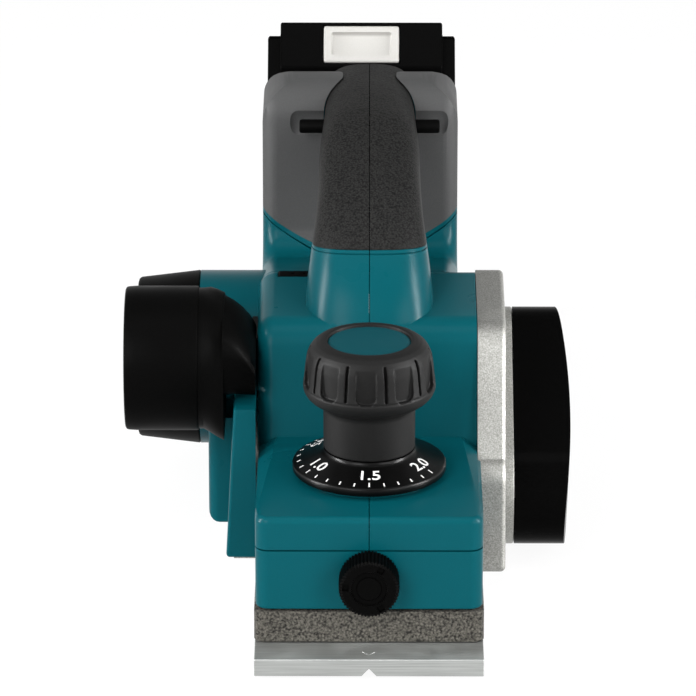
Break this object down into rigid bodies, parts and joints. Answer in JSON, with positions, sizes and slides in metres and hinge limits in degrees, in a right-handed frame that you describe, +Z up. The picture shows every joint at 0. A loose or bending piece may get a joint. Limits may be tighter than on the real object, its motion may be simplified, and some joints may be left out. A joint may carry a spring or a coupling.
{
  "type": "cordless hand planer",
  "caption": "Cordless hand-held electric planer: aluminium shoes and drum frame, cutter drum with belt drive, depth knob, chip nozzle, D handle with trigger and slide-on battery.",
  "frame": {"origin": "centre of the rear sole, the flat face that the tool stands on", "axes": "+Z up, the tool planes towards -Y, +X is the belt side, X = 0 is the middle of the cut"},
  "size_m": [0.169, 0.333, 0.16],
  "materials": {
    "teal_plastic": "fine moulded texture, satin",
    "black_plastic": "fine moulded texture, satin",
    "grip_rubber": "coarse leather grain",
    "grey_elastomer": "fine matt grain",
    "foam": "open-cell sponge",
    "cast_aluminium": "shot blasted casting",
    "milled_aluminium": "milled, with fine tool marks",
    "steel": "ground",
    "copper": "lacquered winding",
    "belt_rubber": "ribbed belt",
    "button_white": "satin",
    "cell_wrap": "shrink wrap"
  },
  "bodies": {
    "root": {"housing_right": "teal_plastic", "housing_left": "teal_plastic", "front_cover": "teal_plastic", "drum_frame": "cast_aluminium", "rear_base": "milled_aluminium", "side_cover": "teal_plastic", "belt_cover": "black_plastic", "belt_cover_screw_1": "steel", "belt_cover_screw_2": "steel", "chip_duct": "black_plastic", "chip_nozzle": "black_plastic", "motor_end_cap": "black_plastic", "motor_stator": "copper", "motor_bearing_outer": "steel", "motor_bearing_inner": "steel", "drum_bearing_left": "steel", "drum_bearing_right": "steel", "drive_belt": "belt_rubber", "controller": "steel", "switch_body": "black_plastic", "terminal_block": "black_plastic", "status_panel": "black_plastic", "grip_right": "grip_rubber", "grip_left": "grip_rubber", "rear_grip_right": "grey_elastomer", "rear_grip_left": "grey_elastomer", "housing_screw_1": "steel", "housing_screw_2": "steel", "housing_screw_3": "steel", "housing_screw_4": "steel"},
    "front_shoe": {"front_base": "milled_aluminium", "foam_seal": "foam", "guide_pin_left": "steel", "guide_pin_right": "steel"},
    "depth_knob": {"knob_grip": "black_plastic", "depth_dial": "black_plastic", "knob_cap": "teal_plastic", "depth_screw": "steel"},
    "thumb_screw": {"thumb_screw": "black_plastic"},
    "cutter": {"cutter_drum": "cast_aluminium", "blade_1": "steel", "blade_2": "steel", "blade_clamp_1": "cast_aluminium", "blade_clamp_2": "cast_aluminium", "drum_pulley": "steel"},
    "rotor": {"motor_shaft": "steel", "rotor_core": "steel", "cooling_fan": "black_plastic", "motor_pulley": "steel"},
    "trigger": {"trigger": "grip_rubber"},
    "lock_off": {"lock_off_bar": "black_plastic"},
    "battery": {"battery_case": "black_plastic", "battery_cells": "cell_wrap"},
    "battery_release": {"battery_button": "button_white"}
  },
  "joints": [
    {"name": "depth_knob_turn", "type": "hinge", "parent": "root", "child": "depth_knob", "pos_m": [0, -0.1557, 0.058], "axis": [0, 0, 1], "range_deg": [-60, 180]},
    {"name": "front_shoe_slide", "type": "slide", "parent": "root", "child": "front_shoe", "axis": [0, 0, 1], "range_m": [-0.0015, 0.0005]},
    {"name": "thumb_screw_turn", "type": "hinge", "parent": "root", "child": "thumb_screw", "pos_m": [0, -0.2, 0.034], "axis": [0, -1, 0], "range_deg": [0, 1080]},
    {"name": "drum_spin", "type": "hinge", "parent": "root", "child": "cutter", "pos_m": [0, -0.094, 0.027], "axis": [1, 0, 0], "continuous": true},
    {"name": "rotor_spin", "type": "hinge", "parent": "root", "child": "rotor", "pos_m": [0, -0.045, 0.0605], "axis": [1, 0, 0], "continuous": true},
    {"name": "trigger_pull", "type": "hinge", "parent": "root", "child": "trigger", "pos_m": [0, -0.0405, 0.133], "axis": [1, 0, 0], "range_deg": [0, 12], "stiffness_Nm_per_rad": 0.4, "springref_deg": -8.59},
    {"name": "lock_off_slide", "type": "slide", "parent": "root", "child": "lock_off", "axis": [1, 0, 0], "range_m": [-0.003, 0.003], "stiffness_N_per_m": 400},
    {"name": "battery_slide", "type": "slide", "parent": "root", "child": "battery", "axis": [0, 0, 1], "range_m": [0, 0.11]},
    {"name": "battery_release_press", "type": "slide", "parent": "battery", "child": "battery_release", "axis": [0, 0.7071, -0.7071], "range_m": [0, 0.003], "stiffness_N_per_m": 600, "springref_m": -0.002}
  ],
  "couplings": [
    {"joint": "depth_knob_turn", "follows": "front_shoe_slide", "rad_per_m": -2094.4},
    {"joint": "rotor_spin", "follows": "drum_spin", "ratio": 1.381}
  ]
}
